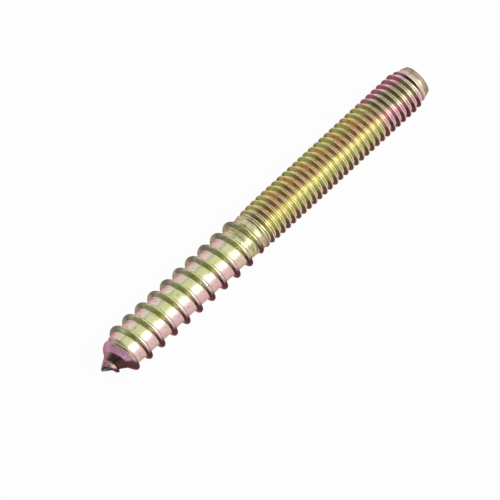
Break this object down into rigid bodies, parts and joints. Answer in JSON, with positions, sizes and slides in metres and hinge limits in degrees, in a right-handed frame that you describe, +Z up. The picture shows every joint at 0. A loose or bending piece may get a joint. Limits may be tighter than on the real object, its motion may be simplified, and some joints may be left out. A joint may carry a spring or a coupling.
{
  "type": "hanger bolt",
  "caption": "Headless steel hanger bolt in yellow zinc: a wood thread with a gimlet point at one end, and a metric machine thread with a chamfered flat end at the other.",
  "frame": {"origin": "on the screw's axis, in the plane where the wood thread has run out and the machine thread begins, which is where the surface of the wood comes to", "axes": "+X along the axis towards the flat end of the machine thread, +Z up from what the screw lies on"},
  "size_m": [0.06, 0.0064, 0.0064],
  "materials": {
    "zinc": "bright zinc plating with an iridescent yellow chromate film"
  },
  "bodies": {
    "root": {"hanger_bolt": "zinc"}
  },
  "joints": []
}
